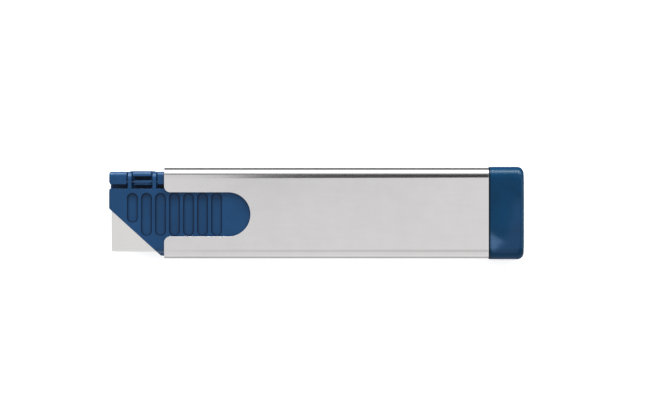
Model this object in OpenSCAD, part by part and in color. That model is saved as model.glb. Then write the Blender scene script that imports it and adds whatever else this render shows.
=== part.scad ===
// Flat safety knife: a steel sleeve with thumb slots, a spring-returned blade carrier and an end cap.
// It lies on a broad side. +X points to the end cap, +Y to the hinge edge and +Z up through the
// thickness. The origin is under the middle of the whole knife, with the blade fully out.
// Every piece is drawn about the middle plane of the thickness, and lift() raises it into place.

/* [Sleeve] */
// Length of the steel sleeve
sleeve_l = 86.2; // [84:0.1:92]
// Height of the broad side
sleeve_h = 24; // [23.5:0.1:25]
// Thickness from broad side to broad side
sleeve_t = 9; // [8.8:0.1:9.6]
// Sheet thickness
wall = 0.55; // [0.5:0.05:0.8]
// Outside radius along the long edges
edge_r = 2.8; // [2.4:0.1:3]

/* [Thumb slot] */
// Width of the slot
slot_w = 11.7; // [11:0.1:12]
// Length from the mouth to the round end
slot_l = 22.9; // [20:0.1:24]
// Radius of the two corners at the mouth
mouth_r = 1.6; // [1:0.1:2]
// How far the slot sits towards the cutting edge
slot_drop = 0.35; // [0:0.05:0.4]

/* [Blade carrier] */
// How far the nose stands out of the sleeve
nose_out = 14.6; // [13.5:0.1:15]
// Travel from blade out to blade in
travel = 15; // [15:0.1:16]
// Length of the hinged shells
shell_l = 43; // [42:0.5:45]
// Gap to the sleeve all round
slide_gap = 0.1; // [0.1:0.05:0.2]
// Height of the shells' upright front edge
nose_edge = 5.25; // [5:0.05:5.5]
// Angle of the slanted nose below that edge, from the long axis
nose_angle = 42.3; // [41:0.1:43]

/* [Grip pockets] */
// Number of pockets in a side
pocket_n = 7; // [5:1:7]
// Width of a pocket
pocket_w = 2.85; // [2.2:0.05:2.9]
// Distance from one pocket to the next
pocket_pitch = 3.72; // [3.6:0.01:3.8]
// Depth of a pocket
pocket_depth = 0.6; // [0.3:0.05:0.7]

/* [Blade] */
// Length of the blade
blade_l = 38; // [37:0.5:38]
// Width across its two cutting edges
blade_h = 16.4; // [16:0.1:16.5]
// Thickness of the blade
blade_t = 0.4; // [0.3:0.05:0.5]
// Width of the ground bevel
bevel = 0.7; // [0.6:0.05:1.2]

/* [Spring] */
// Outside diameter of the coil
spring_d = 4.6; // [4:0.1:5]
// Diameter of the wire
wire_d = 0.5; // [0.4:0.05:0.5]
// Turns between the two eyes
turns = 15.5; // [12.5:1:15.5]

/* [End cap] */
// Length of the cap behind the sleeve
cap_l = 9.3; // [8:0.1:11]
// How far the cap stands proud of the sleeve all round
lip = 0.3; // [0.2:0.05:0.5]

/* [Hidden] */
$fn = 64;
eps = 0.01;
over = 1;                                   // how far a cutter runs past what it cuts

blue = [0.15, 0.27, 0.42];
steel = [0.80, 0.80, 0.79];

// Sections across the knife
inner_h = sleeve_h - 2 * wall;
inner_t = sleeve_t - 2 * wall;
inner_r = edge_r - wall;
slide_h = inner_h - 2 * slide_gap;
slide_t = inner_t - 2 * slide_gap;
slide_r = inner_r - slide_gap;
cap_h = sleeve_h + 2 * lip;
cap_t = sleeve_t + 2 * lip;
face_z = slide_t / 2;                       // outer face of either shell
parting_z = blade_t / 2;                    // where the two shells meet

// Stations along the knife
overall_l = nose_out + sleeve_l + cap_l;
x_nose = -overall_l / 2;
x_mouth = x_nose + nose_out;
x_shoulder = x_mouth + sleeve_l;
x_end = x_shoulder + cap_l;
x_shell_end = x_nose + shell_l;
slot_x = x_mouth + slot_l - slot_w / 2;     // centre of the slot's round end

// Shells
nose_top = 6.45;                            // upper edge of the cover
nose_corner = nose_top - nose_edge;         // where the slanted edge starts
slant_l = (nose_corner + slide_h / 2) / tan(nose_angle);
rail_y = 7.66;                              // lower edge of the hinge rail
rail_top = slide_h / 2 - 0.38;              // the rail stays clear of the sleeve along its top
bridge_top = slide_h / 2 - 0.2;             // and stands a little higher between the arms
rail_face = face_z - 0.3;                   // the rail lies a little below the cover's face
rail_edge_r = 1.3;                          // rounding along the rail
rail_setback = [0, 0.25, 0.28];              // of the rail's front, its lower corner and the notch
nose_r = [0.4, 0.6];                        // rounding of the cover's two front corners
rail_r = 0.55;                              // rounding of the rail's front corner
cover_gap = 0.1;                            // behind the cover, so that it can swing
gap_depth = 0.6;                            // of the matching groove in the far shell
bulkhead_l = 2.5;

// Hinge
arm_w = 0.95;
arm_gap = 0.38;
arm_x = [x_nose + 5.45, x_nose + 12.0];
arm_z = 0.9;                                // underside of the arms
hinge_y = 8.22;
hinge_z = 2.7;
hinge_d = 0.7;
hinge_fit = 0.05;
knuckle_d = 1.12;                           // of the base's knuckle, between the arms
knuckle_x = [x_nose + 6.65, x_nose + 11.2];
knuckle_foot = 0.72;                        // how far it reaches below the hinge's axis
hinge_x = [x_nose + 1, x_nose + 14];        // ends of the pin, pressed in from the nose
hinge_floor = -1;                           // floor of the notches that the arms swing in
window_y = 9.8;                             // top of the window between the arms

// Pockets and the coring behind them
pocket_x = x_nose + 6.2;                    // centre of the first pocket
pocket_top = 5.33;
pocket_bottom = -6.1;
first_bottom = -2.58;
core_w = 4;
core_pitch = 5;
core_top = 2.1;                             // how far the coring stays under the outer face

// Blade
blade_x = x_nose + 0.53;
blade_y = -2.08;
blade_gap = 0.06;
stud_d = 3;
stud_gap = 0.1;
stud_h = 1;
stud_x = [blade_x + 9, blade_x + blade_l - 9];
peg_d = 2.2;
peg_gap = 0.1;
peg_x = (blade_x + blade_l + x_shell_end) / 2;
peg_y = [-6, 4];

// Stop, tail and spring
stop_gap = 0.3;                             // left between shell and stop when the blade is in
stop_l = 1.8;
x_stop = x_shell_end + bulkhead_l + travel + stop_gap;
neck_w = 6;
neck_t = 3.2;
neck_gap = 0.3;
head_l = 2;
head_w = 14;
x_head = x_stop + stop_l + neck_gap / 2;
ear_l = 3.2;
ear_w = 4;
ear_t = 1.2;
ear_in = 0.55;                              // half the gap between the ears
pin_d = 1.2;
x_hook = x_head + head_l + 1.7;
rail_w = 1.85;
frame_end_gap = 2.4;
x_frame_end = x_shoulder - frame_end_gap;
frame_wall = 1.6;
x_anchor = x_frame_end - frame_wall - 1.7;
barb_l = 3;
barb_w = 2.8;
barb_x = x_frame_end - 6.5;
barb_gap = 0.2;

// Spring wire
coil_r = (spring_d - wire_d) / 2;
eye_r = 1.3;
eye_open = 40;                              // half the angle left open in an eye
eye_slack = 0.05;                           // between the wire and the pin that it pulls on
eye_x = x_hook - pin_d / 2 + eye_r - wire_d / 2 - eye_slack;
coil_start = x_hook + 2.6;
coil_end = x_anchor - 2.6;

// End cap
cap_corner_r = 1.6;
cap_edge_r = 0.8;
prong_w = 2.2;
prong_t = 2.6;
prong_y = 6.4;                              // inner face of a prong
prong_l = 4.2;
prong_gap = 0.15;
hook_l = 1.2;
hook_out = 0.6;
cap_core_w = 11;
cap_core_t = 6;
cap_floor = 1.6;

// ---------------------------------------------------------------- helpers

function unit(v) = v / norm(v);

module lift() translate([0, 0, cap_t / 2]) children();

// A rectangle with round corners, centred
module round_rect(w, h, r) {
    square([w - 2 * r, h], center = true);
    square([w, h - 2 * r], center = true);
    for (sx = [-1, 1], sy = [-1, 1])
        translate([sx * (w / 2 - r), sy * (h / 2 - r)]) circle(r);
}

// A bar along X from x0 to x1, with a round-cornered section
module bar(w, t, r, x0, x1)
    translate([x0, 0, 0]) rotate([90, 0, 90]) linear_extrude(x1 - x0) round_rect(w, t, r);

// An outline whose outward corners are rounded, each by its own radius
module rounded(points, radii) {
    n = len(points);
    to_last = [for (i = [0 : n - 1]) unit(points[(i + n - 1) % n] - points[i])];
    to_next = [for (i = [0 : n - 1]) unit(points[(i + 1) % n] - points[i])];
    half = [for (i = [0 : n - 1]) acos(to_last[i] * to_next[i]) / 2];
    centre = [
        for (i = [0 : n - 1]) points[i] + radii[i] / sin(half[i]) * unit(to_last[i] + to_next[i])
    ];
    polygon([
        for (i = [0 : n - 1])
            each radii[i] == 0 ? [points[i]] : [
                points[i] + radii[i] / tan(half[i]) * to_last[i],
                centre[i],
                points[i] + radii[i] / tan(half[i]) * to_next[i]
            ]
    ]);
    for (i = [0 : n - 1]) if (radii[i] > 0) translate(centre[i]) circle(radii[i]);
}

// A plate with a flat outline, from height z0 to z1
module slab(z0, z1) translate([0, 0, z0]) linear_extrude(z1 - z0) children();

module block(x0, x1, y0, y1, z0, z1)
    translate([x0, y0, z0]) cube([x1 - x0, y1 - y0, z1 - z0]);

// A block centred on the knife's axis
module mid_block(x0, x1, w, t) block(x0, x1, -w / 2, w / 2, -t / 2, t / 2);

module rod(d, x0, x1, y, z) translate([x0, y, z]) rotate([0, 90, 0]) cylinder(h = x1 - x0, d = d);

// An upright slot outline with full round ends
module pocket_outline(x, y0, y1) {
    translate([x - pocket_w / 2, y0 + pocket_w / 2]) square([pocket_w, y1 - y0 - pocket_w]);
    for (y = [y0 + pocket_w / 2, y1 - pocket_w / 2]) translate([x, y]) circle(pocket_w / 2);
}

// ---------------------------------------------------------------- sleeve

// The thumb slot, open at the mouth, with the steel's two corners rounded there
module slot_outline()
    translate([0, -slot_drop]) {
        translate([x_mouth - over, -slot_w / 2]) square([slot_x - x_mouth + over, slot_w]);
        translate([slot_x, 0]) circle(slot_w / 2);
        for (s = [0, 1]) mirror([0, s])
            difference() {
                translate([x_mouth - over, slot_w / 2 - eps]) square([mouth_r + over, mouth_r + eps]);
                translate([x_mouth + mouth_r, slot_w / 2 + mouth_r]) circle(mouth_r);
            }
    }

// Windows in the narrow sides, where the frame's barbs snap in
module barb_windows()
    for (s = [0, 1]) mirror([0, s, 0])
        block(barb_x - barb_gap, barb_x + barb_l + barb_gap, inner_h / 2 - over, sleeve_h / 2 + over,
              -barb_w / 2 - barb_gap, barb_w / 2 + barb_gap);

module sleeve()
    color(steel) lift() difference() {
        bar(sleeve_h, sleeve_t, edge_r, x_mouth, x_shoulder);
        bar(inner_h, inner_t, inner_r, x_mouth - over, x_shoulder + over);
        for (s = [0, 1]) mirror([0, 0, s])
            slab(inner_t / 2 - over, sleeve_t / 2 + over) slot_outline();
        barb_windows();
    }

// ---------------------------------------------------------------- inner frame and its pin

module ears(x0, x1)
    for (s = [0, 1]) mirror([0, 0, s])
        block(x0, x1, -ear_w / 2, ear_w / 2, ear_in, ear_in + ear_t);

module pin(x, h = 2 * (ear_in + ear_t)) translate([x, 0, 0]) cylinder(h = h, d = pin_d, center = true);

// The barb leans back, so that it slides in and then holds
module barb()
    translate([barb_x, slide_h / 2 - eps, -barb_w / 2]) linear_extrude(barb_w)
        polygon([[0, 0], [barb_l, 0], [barb_l, wall], [barb_l - 0.6, wall]]);

// Leaves each prong room to bend outwards as its hook goes through
module prong_hole()
    block(x_frame_end - frame_wall - over, x_frame_end + over,
          prong_y - prong_gap, prong_y + prong_w + hook_out,
          -prong_t / 2 - prong_gap, prong_t / 2 + prong_gap);

module inner_frame()
    color([0.2, 0.2, 0.22]) lift() difference() {
        union() {
            difference() {
                bar(slide_h, slide_t, slide_r, x_stop, x_frame_end);
                mid_block(x_stop + stop_l, x_frame_end - frame_wall, slide_h - 2 * rail_w, slide_t + over);
                for (s = [0, 1]) mirror([0, s, 0]) prong_hole();
                // slot for the neck of the tail, open on the upper side
                block(x_stop - over, x_stop + stop_l + over, -neck_w / 2 - neck_gap, neck_w / 2 + neck_gap,
                      -neck_t / 2 - neck_gap, slide_t);
            }
            ears(x_anchor - 1.5, x_frame_end - frame_wall + eps);
            for (s = [0, 1]) mirror([0, s, 0]) barb();
        }
        pin(x_anchor, slide_t);
    }

module anchor_pin() color(steel) lift() pin(x_anchor);

// ---------------------------------------------------------------- end cap

// Plan and side outlines of the cap, with its rear corners rounded
module cap_outline(w, r)
    union() {
        translate([x_shoulder, -w / 2]) square([cap_l - r, w]);
        translate([x_shoulder, -w / 2 + r]) square([cap_l, w - 2 * r]);
        for (s = [-1, 1]) translate([x_end - r, s * (w / 2 - r)]) circle(r);
    }

module prong()
    union() {
        block(x_frame_end - prong_l, x_shoulder, prong_y, prong_y + prong_w, -prong_t / 2, prong_t / 2);
        translate([x_frame_end - frame_wall - prong_gap, prong_y, -prong_t / 2]) linear_extrude(prong_t)
            polygon([[0, 0], [0, -hook_out], [-hook_l, 0]]);
    }

module end_cap()
    color(blue) lift() union() {
        difference() {
            union() {
                intersection() {
                    bar(cap_h, cap_t, edge_r + lip, x_shoulder, x_end);
                    slab(-cap_t, cap_t) cap_outline(cap_h, cap_corner_r);
                    rotate([90, 0, 0]) slab(-cap_h, cap_h) cap_outline(cap_t, cap_edge_r);
                }
                bar(slide_h, slide_t, slide_r, x_frame_end + prong_gap, x_shoulder + eps);
            }
            mid_block(x_frame_end, x_end - cap_floor, cap_core_w, cap_core_t);
        }
        for (s = [0, 1]) mirror([0, s, 0]) prong();
    }

// ---------------------------------------------------------------- blade carrier

// Both shells end in this slanted nose
module nose_outline(rear)
    rounded([
        [x_nose, nose_top], [x_nose, nose_corner],
        [x_nose + slant_l, -slide_h / 2], [rear, -slide_h / 2], [rear, nose_top]
    ], [nose_r[0], nose_r[1], 0, 0, 0]);

// The rail along the hinge edge, with the notch below it
module rail_outline()
    rounded([
        [x_nose + rail_setback[2], nose_top - eps], [x_nose + rail_setback[2], rail_y],
        [x_nose + rail_setback[1], rail_y], [x_nose + rail_setback[0], rail_y + 0.7],
        [x_nose + rail_setback[0], rail_top], [x_shell_end, rail_top], [x_shell_end, nose_top - eps]
    ], [0, 0, 0, 0, rail_r, 0, 0]);

// The base's hinge edge, from x0 to x1 and up to the height top
module hinge_edge(top, x0, x1) bar(2 * top, 2 * rail_face, rail_edge_r, x0, x1);

// The grip pockets, cut into the outer face of a shell
module grip_pockets()
    slab(face_z - pocket_depth, face_z + over)
        for (i = [0 : pocket_n - 1])
            pocket_outline(pocket_x + i * pocket_pitch, i == 0 ? first_bottom : pocket_bottom, pocket_top);

// Coring from the blade side, as a moulding has
module coring(z0, z1)
    for (i = [-1 : 1], j = [-1 : 1])
        translate([(stud_x[0] + stud_x[1]) / 2 + i * core_pitch, blade_y + j * core_pitch, (z0 + z1) / 2])
            cube([core_w, core_w, z1 - z0], center = true);

// Notches for the arms, the window between them and the pin's hole
module hinge_cuts() {
    for (x = arm_x)
        block(x - arm_w / 2 - arm_gap, x + arm_w / 2 + arm_gap,
              rail_y - over, slide_h, hinge_floor, slide_t);
    block(arm_x[0], arm_x[1], rail_y - over, window_y, hinge_floor, slide_t);
    rod(hinge_d, x_nose, hinge_x[1], hinge_y, hinge_z);
}

// The base's knuckle round the pin, with a web down to the floor of the window
module knuckle()
    difference() {
        union() {
            rod(knuckle_d, knuckle_x[0], knuckle_x[1], hinge_y, hinge_z);
            block(knuckle_x[0], knuckle_x[1], hinge_y - knuckle_d / 2, hinge_y + knuckle_d / 2,
                  hinge_floor - eps, hinge_z);
            block(knuckle_x[0], knuckle_x[1], hinge_y - knuckle_foot, hinge_y,
                  hinge_floor - eps, hinge_z + 0.36);
        }
        rod(hinge_d, knuckle_x[0] - over, knuckle_x[1] + over, hinge_y, hinge_z);
    }

module tail()
    difference() {
        union() {
            mid_block(x_shell_end, x_head + eps, neck_w, neck_t);
            mid_block(x_head, x_head + head_l, head_w, slide_t - 0.4);
            ears(x_head + head_l - eps, x_head + head_l + ear_l);
        }
        pin(x_hook, slide_t);
    }

module blade_pocket()
    slab(-blade_t / 2, blade_t)
        translate([blade_x - blade_gap, blade_y - blade_h / 2 - blade_gap])
            square([blade_l + 2 * blade_gap, blade_h + 2 * blade_gap]);

module carrier_base()
    color(blue) lift() {
        difference() {
            intersection() {
                bar(slide_h, slide_t, slide_r, x_nose, x_shell_end + bulkhead_l);
                union() {
                    slab(-face_z - over, parting_z) nose_outline(x_shell_end);
                    intersection() {
                        hinge_edge(rail_top, x_nose, x_shell_end);
                        slab(-face_z, parting_z) rail_outline();
                    }
                    intersection() {
                        hinge_edge(rail_top, x_nose, x_shell_end);
                        slab(-face_z, face_z) rail_outline();
                        block(x_nose, x_shell_end, rail_y, slide_h, -slide_t, slide_t);
                    }
                    intersection() {
                        hinge_edge(bridge_top, arm_x[0], arm_x[1]);
                        block(arm_x[0], arm_x[1], rail_y, slide_h, -slide_t, slide_t);
                    }
                    mid_block(x_shell_end - eps, x_shell_end + bulkhead_l, slide_h, slide_t);
                }
            }
            blade_pocket();
            mirror([0, 0, 1]) grip_pockets();
            block(x_nose - over, x_shell_end, nose_top, rail_y, -face_z - over, -face_z + gap_depth);
            coring(-face_z + core_top - pocket_depth, -blade_t / 2 + eps);
            hinge_cuts();
            for (y = peg_y) translate([peg_x, y, -parting_z - 1.6]) cylinder(h = 3, d = peg_d + peg_gap);
        }
        for (x = stud_x)
            translate([x, blade_y, -blade_t / 2 - eps]) cylinder(h = blade_t + stud_h, d = stud_d);
        knuckle();
        tail();
    }

module carrier_cover()
    color(blue) lift() {
        difference() {
            union() {
                intersection() {
                    bar(slide_h, slide_t, slide_r, x_nose, x_shell_end);
                    slab(parting_z, face_z + over) nose_outline(x_shell_end - cover_gap);
                }
                for (x = arm_x)
                    intersection() {
                        bar(2 * rail_top, slide_t, slide_r, x_nose, x_shell_end);
                        block(x - arm_w / 2, x + arm_w / 2, nose_top - eps, slide_h, arm_z, slide_t);
                    }
                for (y = peg_y) translate([peg_x, y, parting_z - 1.5]) cylinder(h = 2, d = peg_d);
            }
            grip_pockets();
            coring(parting_z - eps, face_z - core_top + pocket_depth);
            for (x = stud_x)
                translate([x, blade_y, 0]) cylinder(h = parting_z + stud_h + 0.2, d = stud_d + 2 * stud_gap);
            rod(hinge_d + 2 * hinge_fit, arm_x[0] - 1, arm_x[1] + 1, hinge_y, hinge_z);
        }
    }

module hinge_pin() color(blue) lift() rod(hinge_d, hinge_x[0], hinge_x[1], hinge_y, hinge_z);

module hook_pin() color(steel) lift() pin(x_hook);

// ---------------------------------------------------------------- blade

module blade()
    color("lightgray") lift() difference() {
        translate([blade_x, blade_y, 0]) rotate([90, 0, 90]) linear_extrude(blade_l)
            polygon([
                [-blade_h / 2, 0], [-blade_h / 2 + bevel, -blade_t / 2], [blade_h / 2 - bevel, -blade_t / 2],
                [blade_h / 2, 0], [blade_h / 2 - bevel, blade_t / 2], [-blade_h / 2 + bevel, blade_t / 2]
            ]);
        for (x = stud_x) translate([x, blade_y, -1]) cylinder(h = 2, d = stud_d + stud_gap);
    }

// ---------------------------------------------------------------- spring

function bezier(a, b, c, d, t) =
    pow(1 - t, 3) * a + 3 * pow(1 - t, 2) * t * b + 3 * (1 - t) * t * t * c + pow(t, 3) * d;

// From the open end of the front eye, round the pin and up to the coil
eye_end = [eye_x + eye_r * cos(eye_open), -eye_r * sin(eye_open), 0];
eye_way = [sin(eye_open), cos(eye_open), 0];
front_wire = [
    for (a = [eye_open : 20 : 360 - eye_open]) [eye_x + eye_r * cos(a), eye_r * sin(a), 0],
    for (i = [1 : 7])
        bezier(eye_end, eye_end + 1.6 * eye_way,
               [coil_start - 0.2, coil_r, -1.4], [coil_start, coil_r, 0], i / 8)
];
coil_steps = 10;                            // points in one turn
coil_wire = [
    for (i = [0 : turns * coil_steps])
        let (a = 360 * i / coil_steps, f = i / (turns * coil_steps))
        [coil_start + (coil_end - coil_start) * f, coil_r * cos(a), coil_r * sin(a)]
];
// The rear end is the front one, turned half round
rear_wire = [
    for (i = [len(front_wire) - 1 : -1 : 0])
        [coil_start + coil_end - front_wire[i][0], -front_wire[i][1], front_wire[i][2]]
];

// A tube of n sides along the points p, as one closed solid
module tube_along(p, d, n = 6) {
    last = len(p) - 1;
    way = [for (i = [0 : last]) unit(p[min(i + 1, last)] - p[max(i - 1, 0)])];
    side = [
        for (i = 0, s = unit(cross(way[0], [0, 0, 1])); i <= last;
             i = i + 1, s = i <= last ? unit(s - (s * way[i]) * way[i]) : s) s
    ];
    points = [
        for (i = [0 : last], k = [0 : n - 1])
            p[i] + d / 2 * (cos(360 * k / n) * side[i] + sin(360 * k / n) * cross(way[i], side[i]))
    ];
    walls = [
        for (i = [0 : last - 1], k = [0 : n - 1], half = [0, 1])
            let (a = i * n + k, b = i * n + (k + 1) % n)
            half == 0 ? [a, b + n, b] : [a, a + n, b + n]
    ];
    ends = [[for (k = [0 : n - 1]) k], [for (k = [n - 1 : -1 : 0]) last * n + k]];
    polyhedron(points, concat(walls, ends), convexity = 20);
}

module retract_spring() color(steel) lift() tube_along(concat(front_wire, coil_wire, rear_wire), wire_d);

// ---------------------------------------------------------------- nodes

sleeve();
inner_frame();
anchor_pin();
end_cap();
carrier_base();
carrier_cover();
hinge_pin();
blade();
hook_pin();
retract_spring();
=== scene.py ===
"""Looks of the retractable safety knife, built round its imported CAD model.

The knife lies on a broad side: +X runs to the end cap, +Y to the hinge edge and +Z up. Metres.
"""
import math

import bmesh
import bpy
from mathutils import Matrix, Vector


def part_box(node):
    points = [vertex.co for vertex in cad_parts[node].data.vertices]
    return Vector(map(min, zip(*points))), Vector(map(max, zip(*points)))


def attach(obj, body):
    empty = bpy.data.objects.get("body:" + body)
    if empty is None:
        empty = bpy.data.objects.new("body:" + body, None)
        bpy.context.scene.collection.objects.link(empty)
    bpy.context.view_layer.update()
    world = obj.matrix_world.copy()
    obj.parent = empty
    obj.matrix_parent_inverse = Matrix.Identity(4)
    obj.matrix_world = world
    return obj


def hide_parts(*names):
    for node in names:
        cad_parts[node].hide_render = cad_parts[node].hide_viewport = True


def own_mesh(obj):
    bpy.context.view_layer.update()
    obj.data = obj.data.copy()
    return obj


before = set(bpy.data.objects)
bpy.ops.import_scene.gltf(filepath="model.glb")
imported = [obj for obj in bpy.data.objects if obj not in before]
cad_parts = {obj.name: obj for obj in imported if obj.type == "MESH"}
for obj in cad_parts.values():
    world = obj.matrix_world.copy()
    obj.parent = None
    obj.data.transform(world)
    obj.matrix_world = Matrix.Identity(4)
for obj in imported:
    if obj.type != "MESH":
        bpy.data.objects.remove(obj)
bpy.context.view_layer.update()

MM = 0.001

# The studio
CARD_Z = 0.5                                # height of the cards over the floor
GLINT_Z = 0.06                              # and of the small ones over the end cap
SIDE_Y = 1.2                                # how far off the low lights on the hinge's side stand

# The sleeve's section and the outlines cut in it, as in the CAD model
SLEEVE_LOW, SLEEVE_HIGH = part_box("sleeve")
MID = SLEEVE_LOW.z + (SLEEVE_HIGH.z - SLEEVE_LOW.z) / 2
WALL = 0.55 * MM
GAP = 0.1 * MM                              # between the sleeve and what slides in it
EDGE_R = 2.8 * MM
SLOT_HALF = 5.85 * MM
SLOT_DROP = 0.35 * MM
SLOT_END = SLEEVE_LOW.x + 22.9 * MM - SLOT_HALF
MOUTH_R = 1.6 * MM
WINDOW_HALF = 1.6 * MM

# The end cap
CAP_LOW, CAP_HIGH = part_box("end_cap")
CAP_FRONT = SLEEVE_HIGH.x
CAP_EDGE_R = EDGE_R + 0.3 * MM

# The grip pockets
POCKET_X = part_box("carrier_cover")[0].x + 6.2 * MM
POCKET_PITCH = 3.72 * MM
POCKET_HALF = 1.425 * MM
POCKET_TOP = 5.33 * MM
POCKET_BOTTOM = -6.1 * MM
FIRST_BOTTOM = -2.58 * MM

# The blade
EDGE_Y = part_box("blade")[0].y + 0.7 * MM    # where the ground strip along the cutting edge ends

# The spring
HOOK_X = (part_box("hook_pin")[0].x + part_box("hook_pin")[1].x) / 2
ANCHOR_X = (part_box("anchor_pin")[0].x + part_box("anchor_pin")[1].x) / 2
WIRE = 0.5 * MM
COIL_R = 2.05 * MM
EYE_R = 1.3 * MM
COIL_GAP = 2.6 * MM
TURNS = 15.5


# ---------------------------------------------------------------- materials

class Nodes:
    """A small builder for one material's node tree."""

    def __init__(self, name):
        self.material = bpy.data.materials.new(name)
        self.material.use_nodes = True
        self.tree = self.material.node_tree
        self.shader = self.tree.nodes["Principled BSDF"]
        self.place = self.add("ShaderNodeTexCoord").outputs["Object"]

    def add(self, kind, **inputs):
        node = self.tree.nodes.new(kind)
        for key, value in inputs.items():
            self.put(node, key.replace("_", " "), value)
        return node

    def put(self, node, key, value):
        socket = node.inputs[key]
        if isinstance(value, bpy.types.NodeSocket):
            self.tree.links.new(value, socket)
        else:
            socket.default_value = value

    def stretched(self, scale):
        """The object's own coordinates, scaled by one factor along each axis."""
        return self.add("ShaderNodeMapping", Vector=self.place, Scale=scale).outputs["Vector"]

    def noise(self, scale, detail=3.0, rough=0.5, vector=None):
        node = self.add("ShaderNodeTexNoise", Scale=scale, Detail=detail, Roughness=rough)
        self.put(node, "Vector", vector or self.place)
        return node.outputs["Fac"]

    def spread(self, value, low, high, out_low=0.0, out_high=1.0):
        node = self.add("ShaderNodeMapRange", Value=value)
        node.inputs["From Min"].default_value = low
        node.inputs["From Max"].default_value = high
        node.inputs["To Min"].default_value = out_low
        node.inputs["To Max"].default_value = out_high
        return node.outputs["Result"]

    def maths(self, operation, a, b=0.0):
        node = self.add("ShaderNodeMath")
        node.operation = operation
        self.put(node, 0, a)
        self.put(node, 1, b)
        return node.outputs[0]

    def mix(self, factor, a, b):
        node = self.add("ShaderNodeMix")
        node.data_type = "RGBA"
        for socket, value in zip((node.inputs[0], node.inputs[6], node.inputs[7]), (factor, a, b)):
            if isinstance(value, bpy.types.NodeSocket):
                self.tree.links.new(value, socket)
            else:
                socket.default_value = value
        return node.outputs[2]

    def bump(self, height, distance, below=None):
        node = self.add("ShaderNodeBump", Height=height, Distance=distance, Strength=1.0)
        if below is not None:
            self.put(node, "Normal", below)
        return node.outputs["Normal"]

    def set(self, **inputs):
        for key, value in inputs.items():
            self.put(self.shader, key.replace("_", " "), value)


def rgb(r, g, b):
    """A colour given as it looks on a screen, from 0 to 255, for a shader's socket."""
    def linear(c):
        c = c / 255
        return c / 12.92 if c <= 0.04045 else ((c + 0.055) / 1.055) ** 2.4
    return (linear(r), linear(g), linear(b), 1.0)


def steel(name, light, dark, grain=(60, 2600, 2600), roughness=(0.09, 0.14), bump=0.07):
    """Bare steel with a fine grain, drawn out along the axis where the grain's scale is small."""
    n = Nodes(name)
    lines = n.noise(1.0, 4.0, 0.65, n.stretched(grain))
    sheet = n.noise(26.0, 2.0, 0.5)
    clouds = n.noise(240.0, 3.0, 0.6)
    tone = n.maths("ADD", n.maths("MULTIPLY", lines, 0.2), n.maths("MULTIPLY", clouds, 0.25))
    tone = n.maths("ADD", tone, n.maths("MULTIPLY", sheet, 0.55))
    n.set(Metallic=1.0, Base_Color=n.mix(n.spread(tone, 0.36, 0.64), dark, light))
    n.set(Roughness=n.spread(tone, 0.3, 0.7, roughness[1], roughness[0]))
    # a few long hairline scratches
    hair = n.noise(1.0, 0.0, 0.5, n.stretched((25, 1900, 1900)))
    hair = n.spread(n.maths("ABSOLUTE", n.maths("SUBTRACT", hair, 0.5)), 0.0, 0.006, 1.0, 0.0)
    patches = n.spread(n.noise(160.0, 1.0), 0.6, 0.7)
    height = n.maths("SUBTRACT", lines, n.maths("MULTIPLY", n.maths("MULTIPLY", hair, patches), 0.6))
    n.set(Normal=n.bump(height, 2e-6 * bump))
    return n


def pocket_corner_shade(n):
    """1 along the foot of the grip pockets' walls, where painted shade darkens the recess, and 0
    elsewhere.
    """
    place = n.add("ShaderNodeSeparateXYZ", Vector=n.place)
    x, y = place.outputs["X"], place.outputs["Y"]
    along = n.maths("SUBTRACT", x, POCKET_X - POCKET_PITCH / 2)
    across = n.maths("SUBTRACT", n.maths("FLOORED_MODULO", along, POCKET_PITCH), POCKET_PITCH / 2)
    is_first = n.maths("LESS_THAN", along, POCKET_PITCH)
    bottom = n.maths("ADD", n.maths("MULTIPLY", is_first, FIRST_BOTTOM - POCKET_BOTTOM), POCKET_BOTTOM)
    middle = n.maths("MULTIPLY", n.maths("ADD", bottom, POCKET_TOP), 0.5)
    straight = n.maths("SUBTRACT", POCKET_TOP - POCKET_HALF, middle)
    height = n.maths("ABSOLUTE", n.maths("SUBTRACT", y, middle))
    beyond = n.maths("MAXIMUM", n.maths("SUBTRACT", height, straight), 0.0)
    square = n.maths("ADD", n.maths("MULTIPLY", across, across), n.maths("MULTIPLY", beyond, beyond))
    inside = n.maths("SUBTRACT", POCKET_HALF, n.maths("SQRT", square))
    corner = n.maths("MULTIPLY", n.spread(inside, 0.5 * MM, 0.1 * MM), n.spread(inside, -0.1 * MM, 0.0))
    past_end = n.maths("GREATER_THAN", along, 7 * POCKET_PITCH)
    within = n.maths("SUBTRACT", n.maths("GREATER_THAN", along, 0.0), past_end)
    return n.maths("MULTIPLY", corner, within)


def moulded(name, colour, roughness, texture, speckle=0.06, specular=0.5):
    """Injection moulded plastic with a spark-eroded texture, faint flow clouds and rubbed spots."""
    n = Nodes(name)
    fine = n.noise(9000.0, 2.0, 0.6)
    clouds = n.noise(110.0, 3.0, 0.55)
    lighter = tuple(min(1.0, c * (1 + 2.4 * speckle) + 0.004 * speckle) for c in colour[:3]) + (1.0,)
    darker = tuple(c * (1 - 2.0 * speckle) for c in colour[:3]) + (1.0,)
    tone = n.maths("ADD", n.maths("MULTIPLY", fine, 0.5), n.maths("MULTIPLY", clouds, 0.5))
    n.set(Base_Color=n.mix(n.spread(tone, 0.35, 0.65), darker, lighter))
    rubbed = n.spread(n.noise(420.0, 4.0, 0.7), 0.62, 0.75)
    rough = n.maths("SUBTRACT", n.spread(fine, 0.3, 0.7, roughness - 0.05, roughness + 0.05),
                    n.maths("MULTIPLY", rubbed, 0.08))
    n.set(Roughness=rough, Specular_IOR_Level=specular)
    soft = n.bump(n.noise(260.0, 1.0), 6e-6)
    n.set(Normal=n.bump(fine, texture, soft))
    return n


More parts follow.
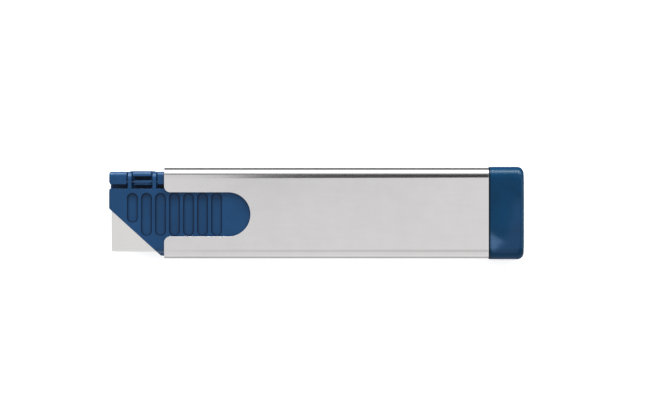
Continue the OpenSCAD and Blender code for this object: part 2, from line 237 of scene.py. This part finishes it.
def polished(name, colour, roughness, specular):
    """Polished plastic: smooth, slightly wavy, with fine handling marks."""
    n = Nodes(name)
    clouds = n.noise(130.0, 3.0, 0.55)
    n.set(Base_Color=n.mix(n.spread(clouds, 0.35, 0.65), tuple(0.88 * c for c in colour[:3]) + (1.0,),
                           tuple(min(1.0, 1.12 * c) for c in colour[:3]) + (1.0,)))
    marks = n.noise(1.0, 2.0, 0.6, n.stretched((2400, 140, 900)))
    marks = n.spread(marks, 0.58, 0.72)
    n.set(Roughness=n.maths("ADD", n.spread(clouds, 0.3, 0.7, roughness, roughness + 0.04),
                            n.maths("MULTIPLY", marks, 0.05)))
    n.set(Specular_IOR_Level=specular)
    wavy = n.bump(n.noise(170.0, 1.0), 1.2e-5)
    n.set(Normal=n.bump(marks, 6e-7, wavy))
    return n


def ground_blade():
    """The blade's flats are brushed across; the ground strip along its edge is brighter and finer."""
    n = steel("blade_steel", rgb(252, 251, 248), rgb(246, 245, 242), grain=(2600, 60, 2600))
    height = n.add("ShaderNodeSeparateXYZ", Vector=n.place).outputs["Y"]
    edge = n.spread(height, EDGE_Y + 0.1 * MM, EDGE_Y - 0.1 * MM)
    flats = n.shader.inputs["Base Color"].links[0].from_socket
    n.set(Base_Color=n.mix(edge, flats, rgb(252, 252, 250)))
    return n.material


def gripped():
    """The carrier's plastic, with painted shade darkening the corners of its grip pockets."""
    n = moulded("carrier_plastic", rgb(24, 64, 103), 0.34, 5e-6, specular=0.2)
    clean = n.shader.inputs["Base Color"].links[0].from_socket
    # painted shade: the colour goes dark in the corners of the grip pockets, where shade falls
    painted_shade = n.maths("MULTIPLY", pocket_corner_shade(n), 0.75)
    n.set(Base_Color=n.mix(painted_shade, clean, rgb(2, 24, 52)))
    return n.material


def capped():
    """The end cap's polish, dull and dark where it meets the sleeve: painted shade in the joint."""
    n = polished("cap_plastic", rgb(3, 52, 84), 0.07, 0.15)
    along = n.add("ShaderNodeSeparateXYZ", Vector=n.place).outputs["X"]
    # painted shade: the cap's colour darkens in the last half millimetre towards the sleeve
    joint_shade = n.maths("MULTIPLY", n.spread(along, CAP_FRONT + 0.5 * MM, CAP_FRONT + 0.3 * MM), 0.8)
    clean = n.shader.inputs["Base Color"].links[0].from_socket
    n.set(Base_Color=n.mix(joint_shade, clean, rgb(1, 12, 20)))
    return n.material


CARRIER = gripped()
HINGE = polished("hinge_plastic", rgb(18, 50, 84), 0.3, 0.3).material
CAP = capped()
FRAME = moulded("frame_plastic", rgb(38, 38, 41), 0.5, 8e-6).material
SLEEVE = steel("sleeve_steel", rgb(246, 244, 243), rgb(238, 236, 236), bump=0.03).material
BLADE = ground_blade()
PIN = steel("pin_steel", rgb(205, 205, 206), rgb(185, 185, 188), roughness=(0.18, 0.28)).material
SPRING = steel("spring_steel", rgb(188, 188, 190), rgb(165, 165, 168), (900,) * 3,
               (0.25, 0.35)).material


# ---------------------------------------------------------------- mesh helpers

def link(bm, name, material, smooth=True):
    bmesh.ops.recalc_face_normals(bm, faces=bm.faces)
    for face in bm.faces:
        face.smooth = smooth
    mesh = bpy.data.meshes.new(name)
    bm.to_mesh(mesh)
    bm.free()
    mesh.materials.append(material)
    obj = bpy.data.objects.new(name, mesh)
    bpy.context.scene.collection.objects.link(obj)
    return obj


def weighted(obj):
    """Large flat faces keep their own normal, so that the shine doesn't bend at their edges."""
    modifier = obj.modifiers.new("normals", "WEIGHTED_NORMAL")
    modifier.weight = 100
    modifier.keep_sharp = True


def soften(obj, width, segments=3, angle=32):
    modifier = obj.modifiers.new("soft_edges", "BEVEL")
    modifier.limit_method = "ANGLE"
    modifier.angle_limit = math.radians(angle)
    modifier.width = width
    modifier.segments = segments
    modifier.miter_outer = "MITER_ARC"
    modifier.use_clamp_overlap = True
    modifier.loop_slide = False
    weighted(obj)


def dress(node, material, width, segments=2):
    """A carried-over CAD node gets its material and small moulded or tumbled edges."""
    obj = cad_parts[node]
    obj.data.materials.clear()
    obj.data.materials.append(material)
    weld = obj.modifiers.new("weld", "WELD")
    weld.merge_threshold = 1e-6
    plane = obj.modifiers.new("planes", "DECIMATE")
    plane.decimate_type = "DISSOLVE"
    plane.angle_limit = math.radians(0.4)
    soften(obj, width, segments)
    return obj


def tube(name, path, radius, sides, material, closed_ends=True):
    """A round bar along a list of points."""
    bm = bmesh.new()
    rings = []
    side = None
    for i, p in enumerate(path):
        way = (path[min(i + 1, len(path) - 1)] - path[max(i - 1, 0)]).normalized()
        if side is None:
            side = way.cross(Vector((0, 0, 1))).normalized()
        side = (side - side.dot(way) * way).normalized()
        other = way.cross(side)
        ring = []
        for k in range(sides):
            a = 2 * math.pi * k / sides
            ring.append(bm.verts.new(p + radius * (math.cos(a) * side + math.sin(a) * other)))
        rings.append(ring)
    for a, b in zip(rings, rings[1:]):
        for k in range(sides):
            bm.faces.new((a[k], a[(k + 1) % sides], b[(k + 1) % sides], b[k]))
    if closed_ends:
        bm.faces.new(rings[0])
        bm.faces.new(rings[-1])
    return link(bm, name, material)


# ---------------------------------------------------------------- sleeve

def slot_edge():
    """The outline of the thumb slot on a broad side, from its upper mouth corner to its lower one."""
    points = []
    top, bottom = SLOT_HALF - SLOT_DROP, -SLOT_HALF - SLOT_DROP
    x0 = SLEEVE_LOW.x
    for i in range(13):
        a = math.radians(90 * i / 12)
        points.append((x0 + MOUTH_R * (1 - math.cos(a)), top + MOUTH_R * (1 - math.sin(a))))
    for i in range(65):
        a = math.radians(90 - 180 * i / 64)
        points.append((SLOT_END + SLOT_HALF * math.cos(a), -SLOT_DROP + SLOT_HALF * math.sin(a)))
    for i in range(12, -1, -1):
        a = math.radians(90 * i / 12)
        points.append((x0 + MOUTH_R * (1 - math.cos(a)), bottom - MOUTH_R * (1 - math.sin(a))))
    return points


def build_sleeve():
    """Bent sheet: an outer skin and an inner one with the same layout, joined along every cut edge."""
    half_h = (SLEEVE_HIGH.y - SLEEVE_LOW.y) / 2
    half_t = (SLEEVE_HIGH.z - SLEEVE_LOW.z) / 2
    flat_y, flat_z = half_h - EDGE_R, half_t - EDGE_R
    wx0, wx1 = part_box("inner_frame")[1].x - 6.7 * MM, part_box("inner_frame")[1].x - 3.3 * MM
    cuts = [SLEEVE_LOW.x, wx0, wx1, SLEEVE_HIGH.x]
    bends = 12
    bm = bmesh.new()
    skins = ({}, {})

    def vert(skin, x, y, z, ny, nz):
        depth = WALL if skin else 0.0
        key = (round(x, 7), round(y - ny * depth, 7), round(z - nz * depth, 7))
        if key not in skins[skin]:
            skins[skin][key] = bm.verts.new((key[0], key[1], key[2] + MID))
        return skins[skin][key]

    def bend(x, sy, sz, k):
        """A point of the bend between a broad side (k = 0) and a narrow side (k = bends)."""
        a = math.radians(90 * k / bends)
        ny, nz = sy * math.sin(a), sz * math.cos(a)
        return (x, sy * flat_y + ny * EDGE_R, sz * flat_z + nz * EDGE_R, ny, nz)

    layout = []
    for sy in (-1, 1):
        for sz in (-1, 1):
            for k in range(bends):
                for x0, x1 in zip(cuts, cuts[1:]):
                    layout.append([bend(x0, sy, sz, k), bend(x1, sy, sz, k),
                                   bend(x1, sy, sz, k + 1), bend(x0, sy, sz, k + 1)])
        zs = [-flat_z, -WINDOW_HALF, WINDOW_HALF, flat_z]
        for i in range(3):
            for j in range(3):
                if i == 1 and j == 1:
                    continue
                corners = ((i, j), (i + 1, j), (i + 1, j + 1), (i, j + 1))
                layout.append([(cuts[a], sy * half_h, zs[b], sy, 0.0) for a, b in corners])
    for sz in (-1, 1):
        outline = [(x, -flat_y) for x in cuts] + [(x, flat_y) for x in reversed(cuts)] + slot_edge()
        layout.append([(x, y, sz * half_t, 0.0, sz) for x, y in outline])
    for skin in (0, 1):
        for face in layout:
            bm.faces.new([vert(skin, *p) for p in face])
    # narrow sides: the inner skin's window cuts meet the bends without loose corners
    bmesh.ops.remove_doubles(bm, verts=bm.verts, dist=1e-8)
    outer = {v: k for k, v in skins[0].items() if v.is_valid}
    pairs = {}
    for face in layout:
        for p in face:
            pairs[vert(0, *p)] = vert(1, *p)
    rims = []
    open_edges = [e for e in bm.edges if len(e.link_faces) == 1 and all(v in outer for v in e.verts)]
    for a, b in [tuple(e.verts) for e in open_edges]:
        rims.append(bm.faces.new((a, b, pairs[b], pairs[a])))
    lips = [e for f in rims for e in f.edges if any(g not in rims for g in e.link_faces)]
    outside = [e for e in set(lips) if all(v in outer for v in e.verts)]
    inside = [e for e in set(lips) if e not in outside]
    bmesh.ops.recalc_face_normals(bm, faces=bm.faces)
    bmesh.ops.bevel(bm, geom=outside, offset=0.12 * MM, offset_type="OFFSET", segments=4, profile=0.5,
                    affect="EDGES", clamp_overlap=True)
    inside = [e for e in inside if e.is_valid]
    bmesh.ops.bevel(bm, geom=inside, offset=0.08 * MM, offset_type="OFFSET", segments=2, profile=0.5,
                    affect="EDGES", clamp_overlap=True)
    sleeve = link(bm, "steel_sleeve", SLEEVE)
    weighted(sleeve)
    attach(sleeve, "handle")
    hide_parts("sleeve")
    return sleeve


# ---------------------------------------------------------------- end cap

def section(x, half_y, half_z, radius, crown=0.0, corner=10, across=12):
    """A closed ring round a rounded rectangle; its broad sides stand out by crown at the middle."""
    ring = []
    for sy, sz, start in ((1, 1, 0), (-1, 1, 90), (-1, -1, 180), (1, -1, 270)):
        for k in range(corner + 1):
            a = math.radians(start + 90 * k / corner)
            ring.append([sy * (half_y - radius) + radius * math.cos(a),
                         sz * (half_z - radius) + radius * math.sin(a)])
        if sz * sy > 0:
            for k in range(1, across):
                ring.append([sy * (half_y - radius) * (1 - 2 * k / across), sz * half_z])
    for p in ring:
        flat = max(0.0, 1 - (p[0] / half_y) ** 2)
        p[1] *= 1 + crown * flat / half_z
    return [Vector((x, y, MID + z)) for y, z in ring]


def loft(bm, rings):
    made = [[bm.verts.new(p) for p in ring] for ring in rings]
    count = len(made[0])
    for a, b in zip(made, made[1:]):
        for k in range(count):
            bm.faces.new((a[k], a[(k + 1) % count], b[(k + 1) % count], b[k]))
    bm.faces.new(made[0])
    bm.faces.new(made[-1])


def build_cap():
    half_y = (CAP_HIGH.y - CAP_LOW.y) / 2
    half_z = (CAP_HIGH.z - CAP_LOW.z) / 2
    crown = 0.12 * MM
    body_z = half_z - crown
    front_r, plan_r, rear_r = 0.3 * MM, 1.7 * MM, 0.9 * MM
    rings = []
    stations = [CAP_FRONT + front_r * (1 - math.cos(math.radians(a))) for a in range(0, 91, 15)]
    steps = 10
    last = stations[-1]
    stations += [last + (CAP_HIGH.x - plan_r - last) * i / steps for i in range(1, steps + 1)]
    stations += [CAP_HIGH.x - plan_r * (1 - math.sin(math.radians(a))) for a in range(6, 91, 6)]
    for x in stations:
        start = max(0.0, front_r - (x - CAP_FRONT))
        pull = front_r - math.sqrt(max(0.0, front_r ** 2 - start ** 2))
        over_y = max(0.0, x - (CAP_HIGH.x - plan_r))
        over_z = max(0.0, x - (CAP_HIGH.x - rear_r))
        in_y = plan_r - math.sqrt(max(0.0, plan_r ** 2 - over_y ** 2))
        in_z = rear_r - math.sqrt(max(0.0, rear_r ** 2 - over_z ** 2))
        radius = CAP_EDGE_R - in_z * 0.6
        rings.append(section(x, half_y - pull - in_y, body_z - pull - in_z, radius, crown))
    bm = bmesh.new()
    loft(bm, rings)
    # the plug that fits the sleeve, and the two prongs that snap behind the frame's rear wall
    plug_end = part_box("inner_frame")[1].x + 0.15 * MM
    plug_y = (SLEEVE_HIGH.y - SLEEVE_LOW.y) / 2 - WALL - GAP
    plug_z = (SLEEVE_HIGH.z - SLEEVE_LOW.z) / 2 - WALL - GAP
    plug_r = EDGE_R - WALL - GAP
    loft(bm, [section(plug_end, plug_y - 0.4 * MM, plug_z - 0.4 * MM, plug_r - 0.4 * MM),
              section(plug_end + 0.4 * MM, plug_y, plug_z, plug_r),
              section(CAP_FRONT + 0.2 * MM, plug_y, plug_z, plug_r)])
    for side in (-1, 1):
        tip = plug_end - 0.15 * MM - 1.6 * MM
        outline = [(CAP_LOW.x, 7.0), (CAP_LOW.x, 8.4), (CAP_LOW.x + 0.2 * MM, 8.6), (CAP_FRONT, 8.6),
                   (CAP_FRONT, 6.4), (tip - 0.15 * MM, 6.4), (tip - 0.15 * MM, 5.85),
                   (tip - 0.25 * MM, 5.8), (tip - 1.35 * MM, 6.4), (CAP_LOW.x + 0.6 * MM, 6.4)]
        low = [bm.verts.new((x, side * y * MM, MID - 1.3 * MM)) for x, y in outline]
        high = [bm.verts.new((x, side * y * MM, MID + 1.3 * MM)) for x, y in outline]
        bm.faces.new(low)
        bm.faces.new(high)
        for i in range(len(low)):
            j = (i + 1) % len(low)
            bm.faces.new((low[i], low[j], high[j], high[i]))
    cap = link(bm, "cap_moulding", CAP)
    cap.data.set_sharp_from_angle(angle=math.radians(40))
    weighted(cap)
    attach(cap, "handle")
    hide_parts("end_cap")
    return cap


# ---------------------------------------------------------------- spring

def curve_point(a, b, c, d, t):
    return (1 - t) ** 3 * a + 3 * (1 - t) ** 2 * t * b + 3 * (1 - t) * t * t * c + t ** 3 * d


def front_hook():
    """From the open end of the front eye, round the hook pin and out to the coil."""
    eye = Vector((HOOK_X - 0.6 * MM + EYE_R - WIRE / 2 - 0.05 * MM, 0, MID))
    opening = 40
    points = []
    for a in range(opening, 361 - opening, 10):
        points.append(eye + EYE_R * Vector((math.cos(math.radians(a)), math.sin(math.radians(a)), 0)))
    end = points[-1]
    way = Vector((math.sin(math.radians(opening)), math.cos(math.radians(opening)), 0))
    start = Vector((HOOK_X + COIL_GAP, COIL_R, MID))
    lead = start + Vector((-0.2 * MM, 0, -1.4 * MM))
    points += [curve_point(end, end + 1.6 * MM * way, lead, start, i / 12) for i in range(1, 13)]
    return points


def build_spring():
    """The two hooks follow what they hang on; the coil between them stays with the handle, on a mesh of
    its own.
    """
    x0, x1 = HOOK_X + COIL_GAP, ANCHOR_X - COIL_GAP
    hook = front_hook()
    turned = [Vector((x0 + x1 - p.x, -p.y, p.z)) for p in hook]
    steps = int(TURNS * 20)
    coil = []
    for i in range(steps + 1):
        a = 2 * math.pi * i / 20
        x = x0 + (x1 - x0) * i / steps
        coil.append(Vector((x, COIL_R * math.cos(a), MID + COIL_R * math.sin(a))))
    front = tube("spring_front_hook", hook, WIRE / 2, 12, SPRING)
    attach(front, "carrier")
    rear = tube("spring_rear_hook", turned, WIRE / 2, 12, SPRING)
    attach(rear, "handle")
    body = tube("spring_coil", coil, WIRE / 2, 12, SPRING)
    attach(body, "handle")
    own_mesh(body)
    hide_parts("retract_spring")


# ---------------------------------------------------------------- camera, floor and light

def build_camera():
    data = bpy.data.cameras.new("camera")
    data.lens = 250
    data.sensor_width = 36
    camera = bpy.data.objects.new("camera", data)
    bpy.context.scene.collection.objects.link(camera)
    width = 174.8 * MM
    height = SLEEVE_HIGH.z + width * data.lens / data.sensor_width
    camera.location = (3.45 * MM, 1.21 * MM, height)
    data.clip_start, data.clip_end = 0.05, 20
    bpy.context.scene.camera = camera


def board(name, points, material, only=()):
    """A flat piece of the studio that only shows in reflections, or only in those of some pieces."""
    mesh = bpy.data.meshes.new(name)
    mesh.from_pydata(points, [], [tuple(range(len(points)))])
    mesh.materials.append(material)
    obj = bpy.data.objects.new(name, mesh)
    bpy.context.scene.collection.objects.link(obj)
    obj.visible_camera = obj.visible_diffuse = obj.visible_shadow = False
    if only:
        group = bpy.data.collections.new(name)
        for piece in only:
            group.objects.link(piece)
        obj.light_linking.receiver_collection = group


def at_angles(corners):
    """Places on the studio's card plane, from their X and the angle off the vertical they show at."""
    return [(x, CARD_Z * math.tan(math.radians(a)), CARD_Z) for x, a in corners]


def upright(x0, x1, z0, z1):
    """The corners of a standing board on the hinge's side of the knife."""
    return [(x0, SIDE_Y, z0), (x1, SIDE_Y, z0), (x1, SIDE_Y, z1), (x0, SIDE_Y, z1)]


def card(name, corners, tones):
    """A level card. Its tone changes along the knife, from tones[0] at the nose end to tones[1]."""
    n = Nodes(name)
    along = n.add("ShaderNodeSeparateXYZ", Vector=n.place).outputs["X"]
    n.set(Base_Color=(0, 0, 0, 1), Specular_IOR_Level=0.0, Emission_Color=(1, 1, 1, 1))
    n.set(Emission_Strength=n.spread(along, -0.05, 0.06, tones[0], tones[1]))
    board(name, at_angles(corners), n.material)


def glint(name, points, colour, only):
    """A light that only shows as a reflection in the pieces named, and that the rest don't see."""
    n = Nodes(name)
    both = n.add("ShaderNodeAddShader")
    glow = n.add("ShaderNodeEmission", Color=colour)
    n.tree.links.new(glow.outputs[0], both.inputs[0])
    n.tree.links.new(n.add("ShaderNodeBsdfTransparent").outputs[0], both.inputs[1])
    n.tree.links.new(both.outputs[0], n.tree.nodes["Material Output"].inputs["Surface"])
    board(name, points, n.material, only)


def lamp(name, place, target, size, power, colour=(1, 1, 1), skip=()):
    """A soft box, which lights all but the pieces named in skip."""
    data = bpy.data.lights.new(name, "AREA")
    data.shape = "RECTANGLE"
    data.size, data.size_y = size
    data.energy = power
    data.color = colour
    obj = bpy.data.objects.new(name, data)
    obj.location = place
    obj.rotation_euler = (Vector(target) - Vector(place)).to_track_quat("-Z", "Y").to_euler()
    bpy.context.scene.collection.objects.link(obj)
    if skip:
        group = bpy.data.collections.new(name)
        for piece in skip:
            group.objects.link(piece)
        for member in group.collection_objects:
            member.light_linking.link_state = "EXCLUDE"
        obj.light_linking.receiver_collection = group


def build_floor():
    """A white floor that loses its shadows; its mirror image in the steel is darker near the knife, a
    painted shadow.
    """
    mesh = bpy.data.meshes.new("floor")
    mesh.from_pydata([(-6, -6, 0), (6, -6, 0), (6, 6, 0), (-6, 6, 0)], [], [(0, 1, 2, 3)])
    floor = bpy.data.objects.new("floor", mesh)
    bpy.context.scene.collection.objects.link(floor)
    n = Nodes("floor")
    ray = n.add("ShaderNodeLightPath")
    across = n.add("ShaderNodeSeparateXYZ", Vector=n.place).outputs["Y"]
    # painted shadow and light: the floor that the steel mirrors is dark near the knife, where its
    # shadow falls, and bright further off on the hinge's side
    mirrored = n.add("ShaderNodeValToRGB", Fac=n.spread(across, -0.05, 0.05))
    stops = [(0.0, 0.78), (0.15, 0.76), (0.25, 0.58), (0.35, 0.34), (0.45, 0.15), (0.8, 0.16),
             (0.88, 1.2)]
    ramp = mirrored.color_ramp
    while len(ramp.elements) < len(stops):
        ramp.elements.new(0.5)
    for element, (at, tone) in zip(ramp.elements, stops):
        element.position = at
        element.color = (tone, tone, tone, 1)
    n.set(Base_Color=(0.9, 0.9, 0.9, 1), Specular_IOR_Level=0.0, Emission_Color=(1, 1, 1, 1))
    n.set(Emission_Strength=n.maths("MULTIPLY", ray.outputs["Is Camera Ray"], 0.55))
    glow = n.add("ShaderNodeEmission", Color=mirrored.outputs["Color"])
    mix = n.add("ShaderNodeMixShader", Fac=ray.outputs["Is Glossy Ray"])
    n.tree.links.new(n.shader.outputs[0], mix.inputs[1])
    n.tree.links.new(glow.outputs[0], mix.inputs[2])
    n.tree.links.new(mix.outputs[0], n.tree.nodes["Material Output"].inputs["Surface"])
    floor.data.materials.append(n.material)


def build_light(sleeve):
    """A soft box on the hinge's side, white surroundings, and the cards that the steel mirrors."""
    bpy.context.scene.view_settings.view_transform = "Standard"
    world = bpy.data.worlds.new("studio")
    bpy.context.scene.world = world
    world.use_nodes = True
    sky = world.node_tree.nodes["Background"]
    sky.inputs["Color"].default_value = (0.72, 0.72, 0.73, 1)
    # the camera sees it white, as the floor
    seen = world.node_tree.nodes.new("ShaderNodeLightPath").outputs["Is Camera Ray"]
    strength = world.node_tree.nodes.new("ShaderNodeMapRange")
    strength.inputs["To Min"].default_value = 1.0
    strength.inputs["To Max"].default_value = 1.5
    world.node_tree.links.new(seen, strength.inputs["Value"])
    world.node_tree.links.new(strength.outputs["Result"], sky.inputs["Strength"])
    lamp("hinge_side_box", (0.0, 1.19, 0.392), (0, 0, 0.05), (2.24, 0.77), 33.3,
         colour=(0.86, 1.0, 1.05), skip=[sleeve])
    glint("sleeve_edge_light", upright(-0.25, 0.25, 0.001, 0.345), (6.0, 6.1, 6.1, 1), [sleeve])
    card("dark_flag", [(-0.03, 2), (0.11, 14), (0.11, 49.5), (-0.03, 48.5)], (0.1, 0.05))
    card("grey_flag", [(-0.4, 40), (-0.03, 40), (-0.03, 49.5), (-0.4, 49.5)], (0.25, 0.25))
    card("lower_flag", [(-0.058, -51), (0.4, -51), (0.4, -21), (-0.058, -21)], (0.64, 0.58))
    card("blade_card", [(-0.4, -51), (-0.058, -51), (-0.058, -21), (-0.4, -21)], (0.72, 0.72))


def build_glints(cap):
    """The highlights along the edges of the moulded pieces."""
    def over_cap(*corners):
        return [(x * MM, y * MM, GLINT_Z) for x, y in corners]

    carrier = [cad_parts["carrier_base"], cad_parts["carrier_cover"]]
    low = [(-0.4, -78), (0.0, -78), (0.0, -54), (-0.4, -54)]
    glint("nose_light", upright(-0.47, 0.0, 0.03, 0.3), (21, 27, 29, 1), carrier)
    glint("nose_low_light", at_angles(low), (9, 10, 10, 1), carrier)
    glint("cap_band", upright(0.0, 0.47, 0.06, 0.44), (7, 10.5, 9.4, 1), [cap])
    glint("cap_fill", over_cap((40, 18), (120, 18), (120, 97), (40, 97)), (0.7, 0.7, 0.7, 1), [cap])
    corner = [(51.6, -9.4), (49.8, -11.0), (48.9, -29.0), (48.1, -55.0), (47.0, -55.0)]
    glint("cap_corner", over_cap((47.0, -6.2), *corner), (5.4, 8.5, 13.5, 1), [cap])
    glint("cap_low", over_cap((53.6, -3.9), (54.5, 4.1), (58.0, 5.7), (58.0, -90.0), (47.0, -90.0),
                              *reversed(corner)), (0.8, 1.0, 2.0, 1), [cap])
    glint("cap_end", over_cap((84, -30), (240, -60), (240, 60), (84, 30)), (1.8, 2.4, 3.0, 1), [cap])


# ---------------------------------------------------------------- the knife

build_camera()
build_floor()
build_light(build_sleeve())
build_glints(build_cap())
build_spring()
dress("carrier_base", CARRIER, 0.18 * MM, 3)
dress("carrier_cover", CARRIER, 0.18 * MM, 3)
dress("hinge_pin", HINGE, 0.08 * MM)
dress("inner_frame", FRAME, 0.15 * MM)
dress("blade", BLADE, 0.02 * MM, 1)
dress("anchor_pin", PIN, 0.1 * MM)
dress("hook_pin", PIN, 0.1 * MM)
